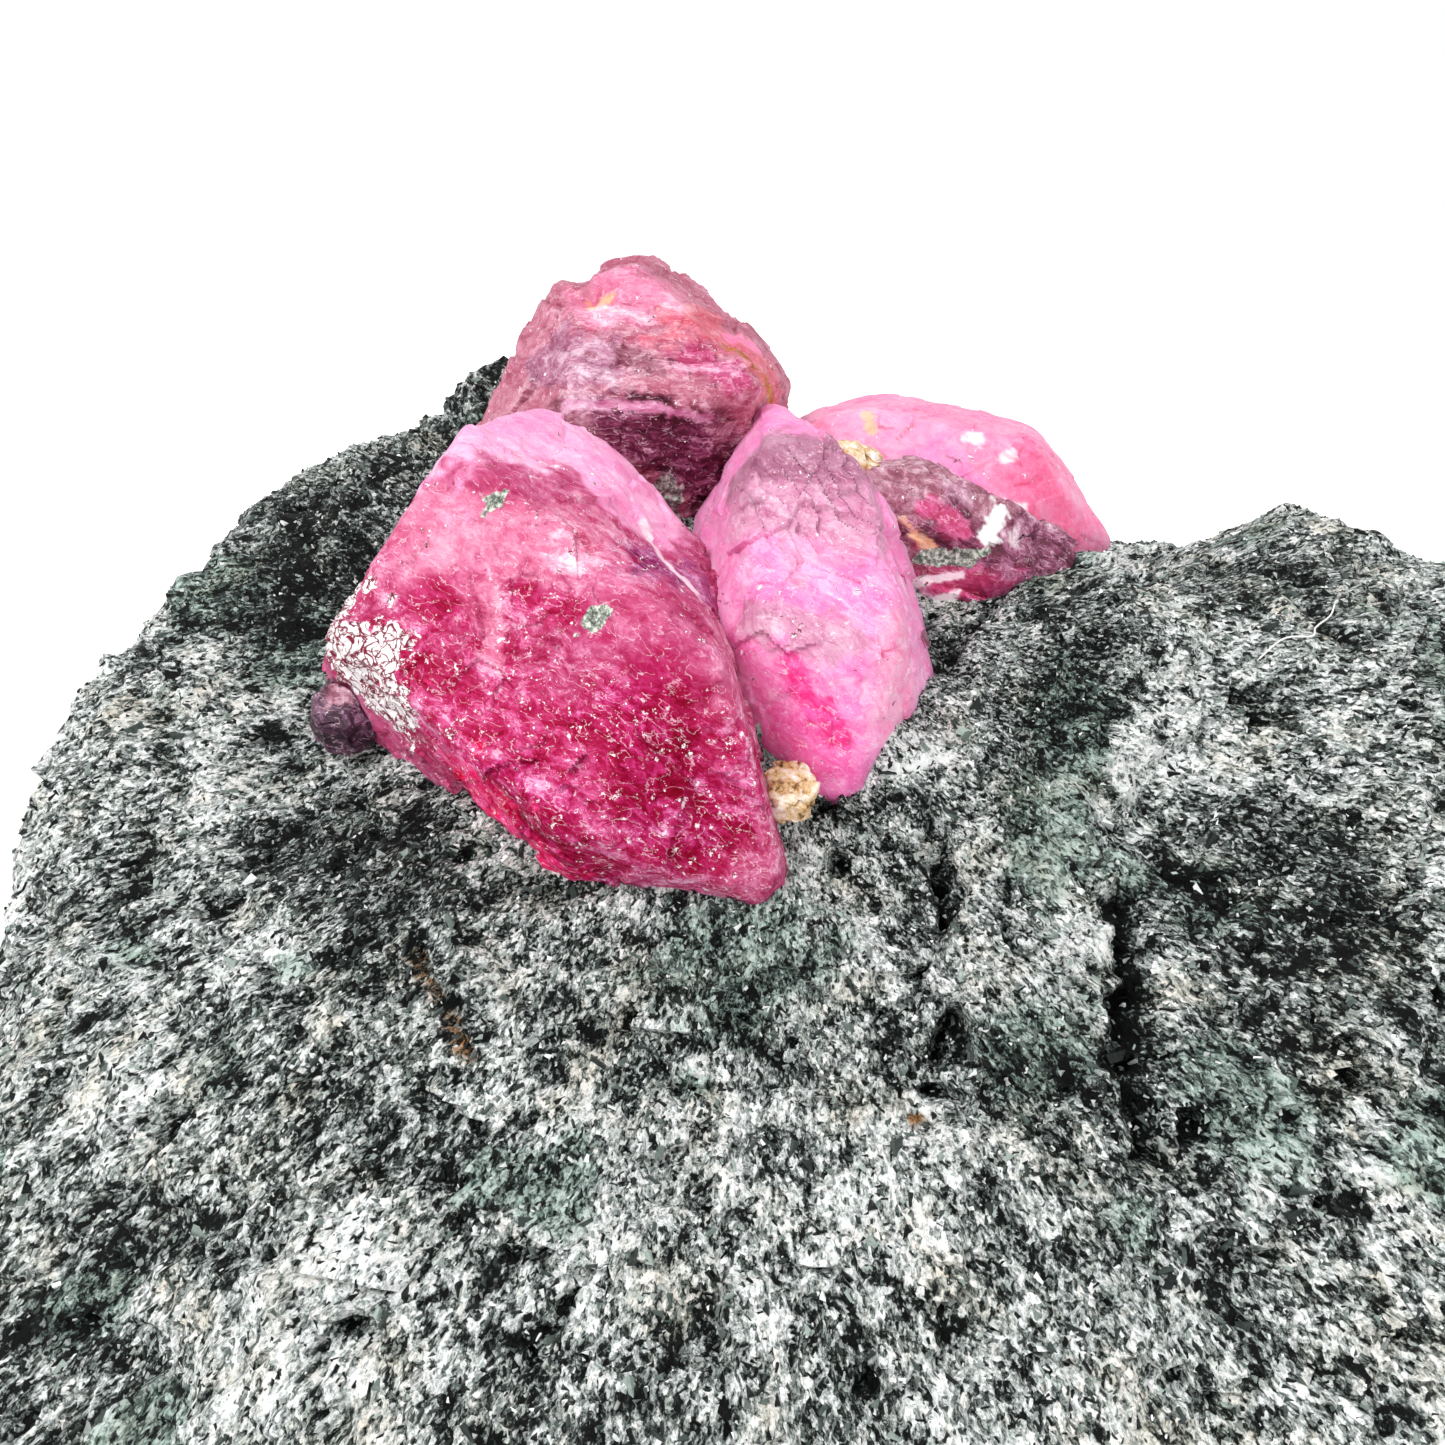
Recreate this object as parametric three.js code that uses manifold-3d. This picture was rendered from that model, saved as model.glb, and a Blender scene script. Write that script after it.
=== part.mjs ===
// Ruby on matrix: a cluster of ruby crystals grown in the top of a broken block of amphibolite.
// Millimetres, +Z up. The block stands on its sawn base at z = 0, the origin is the middle of that
// base, and the rubies sit in sockets on the slope that faces -Y.
//
// A direction is [azimuth, tilt]: degrees about +Z from +X, and degrees above the horizontal. A face
// is [azimuth, tilt, distance]: the direction that it looks, and how far it lies from the centre.
// The rock is a list of fracture faces. A crystal has its mineral's habit, a prism about a long
// axis with sloping shoulders, and a few faces more where pieces have broken off.
import * as THREE from 'three';
import { ConvexGeometry } from 'three/addons/geometries/ConvexGeometry.js';
import { mergeVertices } from 'three/addons/utils/BufferGeometryUtils.js';
import Module from 'manifold-3d';

const wasm = await Module();
wasm.setup();

// ---------------------------------------------------------------- driving dimensions

const GAP = 0.3; // clearance left between pieces that grew against each other

// The matrix: fracture faces of the block, softened where they meet, with a lumpy skin.
const ROCK = {
  centre: [-0.5, 2, 13],
  faces: [
    [-90, 52, 11.2], // the long slope that carries the rubies
    [-125, 46, 15.3], // left part of the slope
    [-90, 13, 21.3], // steep wall under the slope
    [0, 76, 16.0], // shelf on top, falling to the right
    [150, 28, 29.6], // behind the left crest
    [177, 10, 25.4], // left wall
    [180, 80, 20.0], // roof of the left crest
    [-8, 16, 24.3], // right end
    [-45, 22, 27.5], // front right corner
    [48, 16, 23.5], // back right corner
    [92, 14, 17.1], // back
    [125, 8, 24.0], // back left corner
    [0, -90, 15.0], // below the sawn base
  ],
  sharpness: 16, // power of the mean that rounds the edges between fracture faces
  cells: 20, // grid cells along each side of the cube that the skin is mapped from
};
const BASE_Z = 0; // the sawn base
const SAW_BLOCK = 80; // side of the block taken off below the base

// Knobs and hollows of the matrix: the direction from the rock's centre, radius, height.
const KNOBS = [
  [[160, 45], 1.6, 1.2], // shoulder of the left crest
  [[148, 54], 2.0, 1.3], // top of the left crest
  [[-10, 70], 3.2, 0.9], // rise to the right of the crystals
  [[-120, 54], 2.8, -1.4], // hollow under the two large crystals
  [[50, 50], 4.8, -2.8], // saddle behind the coral crystal
  [[35, 40], 2.6, 2.2], // first hump of the shelf
  [[20, 30], 2.6, 2.6], // second hump of the shelf
];

// Slow swells of the broken skin: [wavelength, height, direction of the wave].
const SWELLS = [
  [17, 0.55, [0.8, 0.5, 0.3]],
  [13, 0.45, [-0.5, 0.7, 0.6]],
  [9, 0.3, [0.3, -0.6, 0.8]],
  [7, 0.2, [0.9, 0.2, -0.5]],
];

// The crystals, in the order in which they claim the room: a later one stops at an earlier one.
// The long axis is a direction, and `across` holds the half-width of each pair of prism faces: three
// pairs on a ruby, two on a feldspar, counted round the axis from the face that looks most upwards.
// Each end is [reach, shoulder, lean]: the end face lies `reach` from the centre, and between it and
// the prism runs a ring of slopes that starts at `shoulder` and leans in by `lean` degrees. `breaks`
// are faces where a piece has come off.
const CRYSTALS = [
  {
    name: 'feldspar_low', // the cream grain where the two big crystals part
    centre: [-3.8, -3.7, 23.4],
    axis: [-80, -30],
    across: [0.6, 0.6],
    tip: [0.6, 0.3, 45],
    foot: [1.2, 0.8, 45],
  },
  {
    name: 'feldspar_high', // the cream grain in the notch above the splinter
    centre: [-1.6, 4.3, 30.4],
    axis: [-15, -40],
    across: [0.4, 0.8],
    tip: [1, 0.6, 30],
    foot: [1, 0.6, 30],
  },
  {
    name: 'ruby_front', // the rounded crystal that leans on the right of the large one
    centre: [-3.4, 1, 26.5],
    axis: [100, 40],
    across: [3, 2.9, 3],
    tip: [7.4, 4, 25],
    foot: [5.4, 2, 35],
    breaks: [[20, 40, 4.2], [-175, 35, 3.5]],
  },
  {
    name: 'ruby_main', // the large broken barrel, lying on the slope
    centre: [-9.5, 0.5, 26],
    axis: [-35, -28],
    across: [4.4, 4.6, 4.2],
    tip: [8.5, 4.5, 35],
    foot: [5.2, 4.8, 30],
    breaks: [[0, 15, 4.2], [-10, 50, 4.3], [180, 35, 5.5]],
  },
  {
    name: 'ruby_peak', // the dusky crystal that stands up behind
    centre: [-8.2, 8, 32],
    axis: [165, 76],
    across: [4.5, 4.5, 4.7],
    tip: [3.7, -0.3, 38],
    foot: [5, 0.5, 25],
    breaks: [[-5, 35, 3.9], [180, 30, 3.5]],
  },
  {
    name: 'ruby_rear', // the smooth coral crystal on the right
    centre: [1.4, 9, 28.5],
    axis: [-10, -12],
    across: [2.7, 3, 3],
    tip: [5.4, 2, 40],
    foot: [5, 3, 30],
  },
  {
    name: 'ruby_shard', // the dark splinter under the coral one
    centre: [1.7, 4.8, 28],
    axis: [15, -30],
    across: [1.4, 1.5, 1.6],
    tip: [5, 2, 25],
    foot: [4.8, 2.5, 30],
  },
  {
    name: 'ruby_chip', // the small purple crystal at the left tip
    centre: [-15.8, 0.5, 24.4],
    axis: [170, 0],
    across: [0.8, 0.8, 0.8],
    tip: [0.5, 0.2, 45],
    foot: [1, 0.5, 45],
  },
];

const FINISHES = {
  matrix: { color: 0x4c5651, roughness: 0.72 },
  ruby_main: { color: 0xb5305f, roughness: 0.35 },
  ruby_front: { color: 0xd8608f, roughness: 0.4 },
  ruby_peak: { color: 0xb5607c, roughness: 0.4 },
  ruby_rear: { color: 0xe2707c, roughness: 0.4 },
  ruby_shard: { color: 0x6e2a48, roughness: 0.3 },
  ruby_chip: { color: 0x7a3358, roughness: 0.35 },
  feldspar_low: { color: 0xd9b598, roughness: 0.6 },
  feldspar_high: { color: 0xe2c6b4, roughness: 0.6 },
};

// ---------------------------------------------------------------- faces, corners and solids

const radians = THREE.MathUtils.degToRad;

function directionOf([azimuth, tilt]) {
  const level = Math.cos(radians(tilt));
  return new THREE.Vector3(
    level * Math.cos(radians(azimuth)),
    level * Math.sin(radians(azimuth)),
    Math.sin(radians(tilt)),
  );
}

const facePlane = ([azimuth, tilt, distance]) => (
  { normal: directionOf([azimuth, tilt]), distance });

// The faces of a crystal: pairs of prism faces round the axis, two end faces and, between them and
// the prism, the slopes. A slope passes through its prism face at the shoulder.
function crystalPlanes({ axis, across, tip, foot, breaks = [] }) {
  const along = directionOf(axis);
  const level = new THREE.Vector3(0, 0, 1).cross(along).normalize();
  const upper = along.clone().cross(level);
  const planes = breaks.map(facePlane);
  const sides = 2 * across.length;
  for (let side = 0; side < sides; side += 1) {
    const angle = radians((360 * side) / sides);
    const outward = upper.clone().multiplyScalar(Math.cos(angle));
    outward.addScaledVector(level, Math.sin(angle));
    const width = across[side % across.length];
    planes.push({ normal: outward, distance: width });
    [[1, tip], [-1, foot]].forEach(([way, [, shoulder, lean]]) => {
      const normal = outward.clone().multiplyScalar(Math.cos(radians(lean)));
      normal.addScaledVector(along, way * Math.sin(radians(lean)));
      const distance = width * Math.cos(radians(lean)) + shoulder * Math.sin(radians(lean));
      planes.push({ normal, distance });
    });
  }
  planes.push({ normal: along, distance: tip[0] });
  planes.push({ normal: along.clone().negate(), distance: foot[0] });
  return planes;
}

// The point where three planes meet, or null where two of them are nearly parallel.
function meetingPoint(a, b, c) {
  const across = new THREE.Vector3().crossVectors(b.normal, c.normal);
  const volume = a.normal.dot(across);
  if (Math.abs(volume) < 1e-4) return null;
  const point = across.multiplyScalar(a.distance);
  point.addScaledVector(new THREE.Vector3().crossVectors(c.normal, a.normal), b.distance);
  point.addScaledVector(new THREE.Vector3().crossVectors(a.normal, b.normal), c.distance);
  return point.divideScalar(volume);
}

// The corners of a crystal, with each face moved outwards by `grow`.
function cornersOf(crystal, grow) {
  const planes = crystalPlanes(crystal);
  planes.forEach((plane) => { plane.distance += grow; });
  const origin = new THREE.Vector3(...crystal.centre);
  const corners = [];
  for (let i = 0; i < planes.length; i += 1) {
    for (let j = i + 1; j < planes.length; j += 1) {
      for (let k = j + 1; k < planes.length; k += 1) {
        const point = meetingPoint(planes[i], planes[j], planes[k]);
        const inside = (plane) => plane.normal.dot(point) <= plane.distance + 1e-6;
        if (point && planes.every(inside)) corners.push(point.add(origin));
      }
    }
  }
  return corners;
}

function toSolid(geometry) {
  geometry.deleteAttribute('normal');
  geometry.deleteAttribute('uv');
  const merged = mergeVertices(geometry);
  const vertProperties = new Float32Array(merged.attributes.position.array);
  const triVerts = new Uint32Array(merged.index.array);
  return new wasm.Manifold(new wasm.Mesh({ numProp: 3, vertProperties, triVerts }));
}

function toGeometry(solid) {
  const { vertProperties, triVerts } = solid.getMesh();
  const geometry = new THREE.BufferGeometry();
  geometry.setAttribute('position', new THREE.BufferAttribute(new Float32Array(vertProperties), 3));
  geometry.setIndex(new THREE.BufferAttribute(new Uint32Array(triVerts), 1));
  geometry.computeVertexNormals();
  return geometry;
}

const crystalSolid = (crystal, grow = 0) => toSolid(new ConvexGeometry(cornersOf(crystal, grow)));

// ---------------------------------------------------------------- the matrix

// Distance from the rock's centre to its skin along a direction, before knobs and swells: the
// soft minimum of the distances to the fracture faces.
function skinDistance(direction, planes) {
  let sum = 0;
  for (const { normal, distance } of planes) {
    sum += Math.max(0, normal.dot(direction) / distance) ** ROCK.sharpness;
  }
  return sum ** (-1 / ROCK.sharpness);
}

// The middle of each knob, on the skin of the fracture faces.
function knobMiddles(planes, centre) {
  return KNOBS.map(([direction]) => {
    const way = directionOf(direction);
    return way.clone().multiplyScalar(skinDistance(way, planes)).add(centre);
  });
}

function knobHeight(point, middles) {
  return KNOBS.reduce((height, [, radius, rise], index) => {
    const away = point.distanceTo(middles[index]) / radius;
    return height + rise * Math.exp(-away * away);
  }, 0);
}

function swellHeight(point) {
  return SWELLS.reduce((height, [wavelength, rise, along], index) => {
    const way = new THREE.Vector3(...along).normalize().dot(point);
    return height + rise * Math.sin((2 * Math.PI * way) / wavelength + index);
  }, 0);
}

// A cube's grid, blown out to the skin: the tangent spaces the cells evenly over the sphere.
function rockBlank() {
  const planes = ROCK.faces.map(facePlane);
  const centre = new THREE.Vector3(...ROCK.centre);
  const middles = knobMiddles(planes, centre);
  const grid = new THREE.BoxGeometry(2, 2, 2, ROCK.cells, ROCK.cells, ROCK.cells);
  const position = grid.attributes.position;
  const point = new THREE.Vector3();
  for (let i = 0; i < position.count; i += 1) {
    point.fromBufferAttribute(position, i);
    point.set(...point.toArray().map((value) => Math.tan((value * Math.PI) / 4))).normalize();
    const direction = point.clone();
    point.multiplyScalar(skinDistance(direction, planes)).add(centre);
    point.addScaledVector(direction, knobHeight(point, middles) + swellHeight(point));
    position.setXYZ(i, point.x, point.y, point.z);
  }
  return toSolid(grid);
}

function sawBlock() {
  const block = new THREE.BoxGeometry(SAW_BLOCK, SAW_BLOCK, SAW_BLOCK);
  return toSolid(block.translate(0, 0, BASE_Z - SAW_BLOCK / 2));
}

// The block, sawn flat below, with a socket for each crystal.
function matrixSolid() {
  const sawn = rockBlank().subtract(sawBlock());
  return CRYSTALS.reduce((rock, crystal) => rock.subtract(crystalSolid(crystal, GAP)), sawn);
}

// A crystal, stopped where an earlier one already stands.
function grownCrystal(index) {
  const earlier = CRYSTALS.slice(0, index);
  return earlier.reduce((solid, other) => solid.subtract(crystalSolid(other, GAP)),
    crystalSolid(CRYSTALS[index]));
}

// ---------------------------------------------------------------- the specimen

function piece(name, solid) {
  const material = new THREE.MeshStandardMaterial({ ...FINISHES[name], metalness: 0 });
  const mesh = new THREE.Mesh(toGeometry(solid), material);
  mesh.name = name;
  return mesh;
}

const specimen = new THREE.Group();
specimen.add(piece('matrix', matrixSolid()));
CRYSTALS.forEach(({ name }, index) => specimen.add(piece(name, grownCrystal(index))));

export default specimen;
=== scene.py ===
# %% [markdown]
# # Ruby on matrix
# The specimen is a broken block of amphibolite with a cluster of ruby crystals in its sloping top.
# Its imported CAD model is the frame: every node there gives the place, the size and the flat faces
# of one piece. Here each piece gets its broken skin, its colour zones and its finish.

# %% Load the frame
import itertools
import math

import bpy
import numpy as np
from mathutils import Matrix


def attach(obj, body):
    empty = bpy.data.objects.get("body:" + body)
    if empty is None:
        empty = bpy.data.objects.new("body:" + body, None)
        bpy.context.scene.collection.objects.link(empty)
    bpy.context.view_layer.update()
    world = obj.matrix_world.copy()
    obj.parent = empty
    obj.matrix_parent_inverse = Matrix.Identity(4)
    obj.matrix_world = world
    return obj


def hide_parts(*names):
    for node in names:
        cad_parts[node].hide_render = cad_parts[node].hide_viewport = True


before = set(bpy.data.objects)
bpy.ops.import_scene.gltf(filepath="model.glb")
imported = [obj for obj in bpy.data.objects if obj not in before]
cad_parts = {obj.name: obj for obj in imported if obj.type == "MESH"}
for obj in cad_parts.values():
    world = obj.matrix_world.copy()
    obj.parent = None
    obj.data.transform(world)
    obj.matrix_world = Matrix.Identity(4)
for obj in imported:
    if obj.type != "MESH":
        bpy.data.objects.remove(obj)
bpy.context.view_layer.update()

# %% [markdown]
# ## Sizes and colours
# Lengths below are millimetres, as a mineralogist would measure them, and the meshes are stored in
# metres. Colours are written as sRGB hex, the way one reads them off a colour chart, but shaders
# mix light, so one function turns them to linear values.

# %% Units and colours
MM = 0.001


def linear(hex_colour):
    """sRGB hex to linear light: a short straight part near black, then a power of 2.4."""
    srgb = np.array([int(hex_colour[i:i + 2], 16) for i in (1, 3, 5)]) / 255
    return np.where(srgb <= 0.04045, srgb / 12.92, ((srgb + 0.055) / 1.055) ** 2.4)


def rgba(hex_colour):
    """The same colour as the four numbers that a colour socket takes."""
    return (*linear(hex_colour), 1.0)


# %% [markdown]
# ## Camera
# A close-up from 18 degrees above the horizon with a 45 mm lens, so near that 37 mm fill the
# picture. At this distance Blender's usual near clipping would cut the rock, so it starts at 1 mm.

# %% Camera
CAMERA_TARGET = np.array([-5.5, -2, 25])
CAMERA_DISTANCE = 46.25
CAMERA_ELEVATION = math.radians(18)
LENS = 45

lens = bpy.data.cameras.new("close_up")
lens.lens = LENS
lens.clip_start = 1 * MM
camera = bpy.data.objects.new("close_up", lens)
back = np.array([0, -math.cos(CAMERA_ELEVATION), math.sin(CAMERA_ELEVATION)])
camera.location = MM * (CAMERA_TARGET + CAMERA_DISTANCE * back)
camera.rotation_euler = (math.pi / 2 - CAMERA_ELEVATION, 0, 0)
bpy.context.collection.objects.link(camera)
bpy.context.scene.camera = camera
print("camera at", (CAMERA_TARGET + CAMERA_DISTANCE * back).round(1), "mm")

# %% [markdown]
# ## Nodes
# Every material and the sky are node trees. One small function adds a node of any kind: settings
# are its properties, sockets are filled with a value or with the output of an earlier node. The
# kinds that come up again and again have a function of their own.


# %% One function for every node
def add(tree, kind, sockets=None, **settings):
    """Adds a shader node. A socket is named, or numbered where names repeat."""
    made = tree.nodes.new("ShaderNode" + kind)
    for name, value in settings.items():
        setattr(made, name, value)
    for name, value in (sockets or {}).items():
        if isinstance(name, int):
            socket = made.inputs[name]
        else:
            socket = next(s for s in made.inputs if s.name == name and not s.is_unavailable)
        if isinstance(value, bpy.types.Node):
            value = next(s for s in value.outputs if not s.is_unavailable)
        if isinstance(value, bpy.types.NodeSocket):
            tree.links.new(value, socket)
        else:
            socket.default_value = value
    return made


def new_material(name):
    """An empty material, its tree and its output node."""
    material = bpy.data.materials.new(name)
    material.use_nodes = True
    material.node_tree.nodes.clear()
    return material, material.node_tree, add(material.node_tree, "OutputMaterial")


def shaded(material, tree, out, sockets):
    """Ends a material with one principled shader, and hands it back."""
    shade = add(tree, "BsdfPrincipled", sockets)
    tree.links.new(shade.outputs[0], out.inputs[0])
    return material


# %% Nodes that come up often
def millimetres(tree):
    """The place on a piece in mm: meshes are in metres, patterns are easier to size in mm."""
    place = add(tree, "TexCoord").outputs["Object"]
    return add(tree, "Mapping", {"Vector": place, "Scale": (1 / MM,) * 3})


def read(tree, name, output="Fac"):
    """What the mesh holds under this name for each point."""
    return add(tree, "Attribute", attribute_name=name).outputs[output]


def maths(tree, operation, *values):
    """Arithmetic on numbers."""
    return add(tree, "Math", dict(enumerate(values)), operation=operation)


def plus(tree, base, layer, weight):
    """The base plus the layer times its weight."""
    return maths(tree, "MULTIPLY_ADD", layer, weight, base)


def pushed(tree, place, noise, by):
    """The place, moved about by the three colours of a noise."""
    pushes = {0: noise.outputs["Color"], 1: (by,) * 3, 2: place}
    return add(tree, "VectorMath", pushes, operation="MULTIPLY_ADD")


def spread(tree, value, start, end, low=0, high=1):
    """Stretches the range from start to end over low to high. Beyond it the result stays put."""
    return add(tree, "MapRange", {
        "Value": value, "From Min": start, "From Max": end, "To Min": low, "To Max": high})


def blend(tree, share, under, over, **settings):
    """Lays one colour over another by a share: 0 leaves it out, 1 covers all."""
    return add(tree, "Mix", {"Factor": share, "A": under, "B": over}, data_type="RGBA", **settings)


def veins(tree, noise):
    """How far a noise is from its middle value: 0 along winding lines."""
    return maths(tree, "ABSOLUTE", maths(tree, "SUBTRACT", noise, 0.5))


def fractal(tree, place, scale, detail, roughness=0.5):
    """Cloudy noise: scale is how many lumps to one unit, detail how often they are halved."""
    return add(tree, "TexNoise", {
        "Vector": place, "Scale": scale, "Detail": detail, "Roughness": roughness})


# %% [markdown]
# ## Studio
# The specimen stands on a pale matt sweep under a white tent: light comes softly from everywhere.
# A large soft box at the upper left gives the glints, and a weaker one at the right opens the
# shadows. The tent is a white sky, dimmer to the specimen than to the camera, so that the backdrop
# is clean white and colours keep their depth. The floor is a disc, as rings of radius and angle.

# %% Sky and soft boxes
SKY_STRENGTH = 0.7
SOFT_BOXES = [
    # place in mm, size in mm, watts, what it aims at
    ((-190, -170, 330), 170, 1.1, (-5, 0, 26)),
    ((260, -120, 200), 150, 0.3, (0, 0, 24)),
]

world = bpy.data.worlds.new("white_tent")
world.use_nodes = True
sky = world.node_tree
sky.nodes.clear()
to_camera = add(sky, "LightPath")
strength = add(sky, "MapRange", {
    "Value": to_camera.outputs["Is Camera Ray"], "To Min": SKY_STRENGTH, "To Max": 1.0})
tent = add(sky, "Background", {"Color": (1, 1, 1, 1), "Strength": strength})
add(sky, "OutputWorld", {"Surface": tent})
bpy.context.scene.world = world
bpy.context.scene.view_settings.view_transform = "Standard"

for number, (place, size, watts, aim) in enumerate(SOFT_BOXES):
    lamp = bpy.data.lights.new(f"soft_box_{number}", "AREA")
    lamp.size = size * MM
    lamp.energy = watts
    box = bpy.data.objects.new(lamp.name, lamp)
    box.location = [MM * value for value in place]
    way = np.subtract(aim, place)
    box.rotation_euler = (
        math.atan2(math.hypot(way[0], way[1]), -way[2]), 0, math.atan2(-way[0], way[1]))
    bpy.context.collection.objects.link(box)
print(len(SOFT_BOXES), "soft boxes")

# %% Floor
FLOOR_RADIUS = 900
FLOOR_RINGS, FLOOR_SPOKES = 24, 96
LIT_FROM, LIT_ALL = 30, 160  # mm from the middle: beyond, the floor is lit from below to plain white
LIT_BY = 0.6

ring, spoke = np.meshgrid(np.arange(1, FLOOR_RINGS + 1), np.arange(FLOOR_SPOKES), indexing="ij")
radius = FLOOR_RADIUS * (ring / FLOOR_RINGS) ** 2
angle = 2 * math.pi * spoke / FLOOR_SPOKES
rim = np.stack([radius * np.cos(angle), radius * np.sin(angle), 0 * radius], -1).reshape(-1, 3)
at = (ring - 1) * FLOOR_SPOKES + spoke
cells = np.stack([at[:-1], at[1:], np.roll(at, -1, 1)[1:], np.roll(at, -1, 1)[:-1]], -1)
floor_mesh = bpy.data.meshes.new("floor")
floor_mesh.from_pydata(rim * MM, [], cells.reshape(-1, 4).tolist() + [list(range(FLOOR_SPOKES))])
floor = bpy.data.objects.new("floor", floor_mesh)
bpy.context.collection.objects.link(floor)

paint, tree, out = new_material("matt_white_paint")
place = add(tree, "TexCoord").outputs["Object"]
mottle = fractal(tree, place, 30.0, 4.0)
tone = blend(tree, mottle, rgba("#f4f3f1"), rgba("#faf9f8"))
away = add(tree, "VectorMath", {0: place}, operation="LENGTH")
lit = spread(tree, away.outputs["Value"], LIT_FROM * MM, LIT_ALL * MM, 0, LIT_BY)
floor_mesh.materials.append(shaded(paint, tree, out, {
    "Base Color": tone, "Roughness": 0.9, "Emission Color": rgba("#ffffff"), "Emission Strength": lit}))
print("floor disc of", FLOOR_RADIUS, "mm")

# %% [markdown]
# ## Noise
# Broken stone is the same kind of roughness at every size, and nothing in it is even. Two
# functions make it, both from random numbers on a lattice: one is smooth, and one breaks a skin
# into small tilted planes, as a hammer does. The random numbers come from mixing the whole
# numbers of a lattice cell, so that every run gives the same rock.


# %% Random numbers on a lattice
def hashed(cell, salt):
    """A repeatable number from 0 to 1 for each cell: its three numbers multiplied, mixed and folded."""
    x, y, z = np.moveaxis(np.asarray(cell).astype(np.int64), -1, 0)
    n = (x * 73856093) ^ (y * 19349663) ^ (z * 83492791) ^ (salt * 40503 * 2654435)
    n = ((n ^ (n >> 13)) * 1274126177) & 0xFFFFFFFF
    n = ((n ^ (n >> 16)) * 461845907) & 0xFFFFFFFF
    return ((n ^ (n >> 15)) & 0xFFFFFF) / 0xFFFFFF


def smooth_noise(points, size, salt):
    """-1 to 1: the numbers of the eight lattice corners, blended with the fade t*t*(3 - 2t)."""
    cell = np.floor(points / size)
    t = points / size - cell
    t = t * t * (3 - 2 * t)
    total = 0
    for corner in itertools.product((0, 1), repeat=3):
        weight = np.prod(np.where(corner, t, 1 - t), axis=-1)
        total = total + weight * hashed(cell + corner, salt)
    return 2 * total - 1


def rough(points, size, salt, octaves=3):
    """Smooth noise at size, half size and so on, each octave half as high as the one before."""
    layers = [smooth_noise(points, size / 2**k, salt + 7 * k) / 2**k for k in range(octaves)]
    return sum(layers)


# %% A skin broken into planes
def broken(points, size, tilt, salt):
    """Each point takes the height of its nearest chip's own tilted plane: distance from the
    chip's middle times a random slope. Neighbouring planes meet in ridges and steps."""
    cell = np.floor(points / size)
    nearest = np.full(len(points), np.inf)
    height = np.zeros(len(points))
    for step in itertools.product((-1, 0, 1), repeat=3):
        here = cell + step
        middle = np.stack([hashed(here, salt + k) for k in range(3)], -1)
        slope = np.stack([hashed(here, salt + 3 + k) for k in range(3)], -1) * 2 - 1
        away = points - (here + middle) * size
        distance = (away**2).sum(-1)
        closer = distance < nearest
        nearest = np.where(closer, distance, nearest)
        height = np.where(closer, (away * slope).sum(-1) * tilt, height)
    return height


def chipped(points, chips, base=0):
    """Chips of several sizes on top of each other, and of a base. A chip is a size, tilt and salt."""
    return sum((broken(points, *chip) for chip in chips), base)


def gritty(points, size, height, salt):
    """Smooth noise of this height."""
    return height * rough(points, size, salt)


# %% [markdown]
# ## Closed skins
# Rock and crystals alike are lumps that can be seen whole from their middle, so one way makes them
# all: a direction is a function of two parameters on each of a cube's six sides, and the skin lies
# along it at the distance where the first flat face is met. Where faces meet, a power mean rounds
# the edge: the higher the power, the sharper it is.


# %% Directions
def ways_of(degrees):
    """Unit vectors for rows of azimuth and tilt: degrees about +Z from +X, and above the horizon."""
    azimuth, tilt = np.radians(np.reshape(degrees, (-1, 2))).T
    return np.stack([np.cos(tilt) * np.cos(azimuth), np.cos(tilt) * np.sin(azimuth), np.sin(tilt)], -1)


# %% Directions all round
def all_round(cells):
    """Unit directions and quads. Each side of a cube is a grid of two parameters, spaced by the
    tangent so that the cells are even on the sphere. Shared edges are merged: the skin is closed."""
    a, b = np.meshgrid(np.arange(cells + 1), np.arange(cells + 1), indexing="ij")
    index = np.arange((cells + 1) ** 2).reshape(cells + 1, cells + 1)
    quad = np.stack([index[:-1, :-1], index[1:, :-1], index[1:, 1:], index[:-1, 1:]], -1)
    quad = quad.reshape(-1, 4)
    sheets, quads = [], []
    for axis, side in itertools.product(range(3), (0, cells)):
        sheet = np.empty((*a.shape, 3), int)
        sheet[..., axis], sheet[..., (axis + 1) % 3], sheet[..., (axis + 2) % 3] = side, a, b
        quads.append((quad if side else quad[:, ::-1]) + len(sheets) * index.size)
        sheets.append(sheet.reshape(-1, 3))
    lattice, merged = np.unique(np.concatenate(sheets), axis=0, return_inverse=True)
    way = np.tan((lattice / cells * 2 - 1) * math.pi / 4)
    return way / np.linalg.norm(way, axis=1, keepdims=True), merged.reshape(-1)[np.concatenate(quads)]


def skin_distance(ways, normals, distances, sharpness):
    """How far the skin is along each direction: the power mean of the distances to the faces."""
    closeness = np.maximum(ways @ normals.T, 0) / distances
    most = closeness.max(axis=1, keepdims=True)
    return 1 / (most[:, 0] * ((closeness / most) ** sharpness).sum(axis=1) ** (1 / sharpness))


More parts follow.
